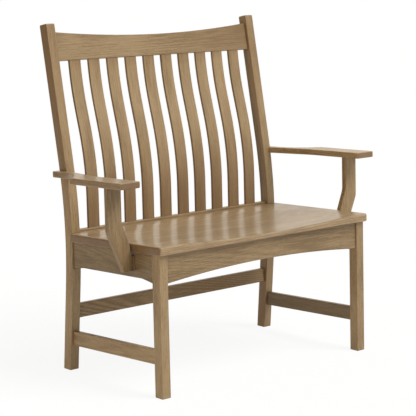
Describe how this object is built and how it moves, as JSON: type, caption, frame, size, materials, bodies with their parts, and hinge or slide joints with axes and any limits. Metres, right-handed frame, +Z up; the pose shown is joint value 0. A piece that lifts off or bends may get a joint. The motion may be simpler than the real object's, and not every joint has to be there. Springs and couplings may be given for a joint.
{
  "type": "settle",
  "caption": "Wooden settle for two with a tall raked slatted back, a scooped plank seat, flared arms on bent supports and arched aprons.",
  "frame": {"origin": "on the floor, under the middle of the settle's overall width and depth", "axes": "+X along the settle's width, to the right as seen from the front; the front faces -Y; +Z up"},
  "size_m": [1.07, 0.5689, 1.0558],
  "materials": {
    "frame_oak": "satin grey-brown stain over oak, fine straight grain along each member, edges rubbed darker",
    "seat_oak": "the same stain with a glossier clear coat that mirrors the back softly",
    "hidden_oak": "plain matt wood, out of sight under the seat",
    "dowel_wood": "plain matt hardwood",
    "screw_steel": "zinc-coated steel"
  },
  "bodies": {
    "root": {"rear_leg_left": "frame_oak", "rear_leg_right": "frame_oak", "front_leg_left": "frame_oak", "front_leg_right": "frame_oak", "crest_rail": "frame_oak", "lower_back_rail": "frame_oak", "back_slat_01": "frame_oak", "back_slat_02": "frame_oak", "back_slat_03": "frame_oak", "back_slat_04": "frame_oak", "back_slat_05": "frame_oak", "back_slat_06": "frame_oak", "back_slat_07": "frame_oak", "back_slat_08": "frame_oak", "back_slat_09": "frame_oak", "back_slat_10": "frame_oak", "front_apron": "frame_oak", "side_apron_left": "frame_oak", "side_apron_right": "frame_oak", "side_stretcher_left": "frame_oak", "side_stretcher_right": "frame_oak", "rear_stretcher": "frame_oak", "arm_left": "frame_oak", "arm_right": "frame_oak", "arm_support_left": "frame_oak", "arm_support_right": "frame_oak", "support_spacer_left": "frame_oak", "support_spacer_right": "frame_oak", "seat_board_1": "seat_oak", "seat_board_2": "seat_oak", "seat_board_3": "seat_oak", "seat_board_4": "seat_oak", "corner_block_front_left": "hidden_oak", "corner_block_front_right": "hidden_oak", "corner_block_rear_left": "hidden_oak", "corner_block_rear_right": "hidden_oak", "seat_brace": "hidden_oak", "arm_post_dowels": "dowel_wood", "arm_support_dowels": "dowel_wood", "seat_screws": "screw_steel", "corner_block_screws": "screw_steel", "arm_support_screws": "screw_steel"}
  },
  "joints": []
}
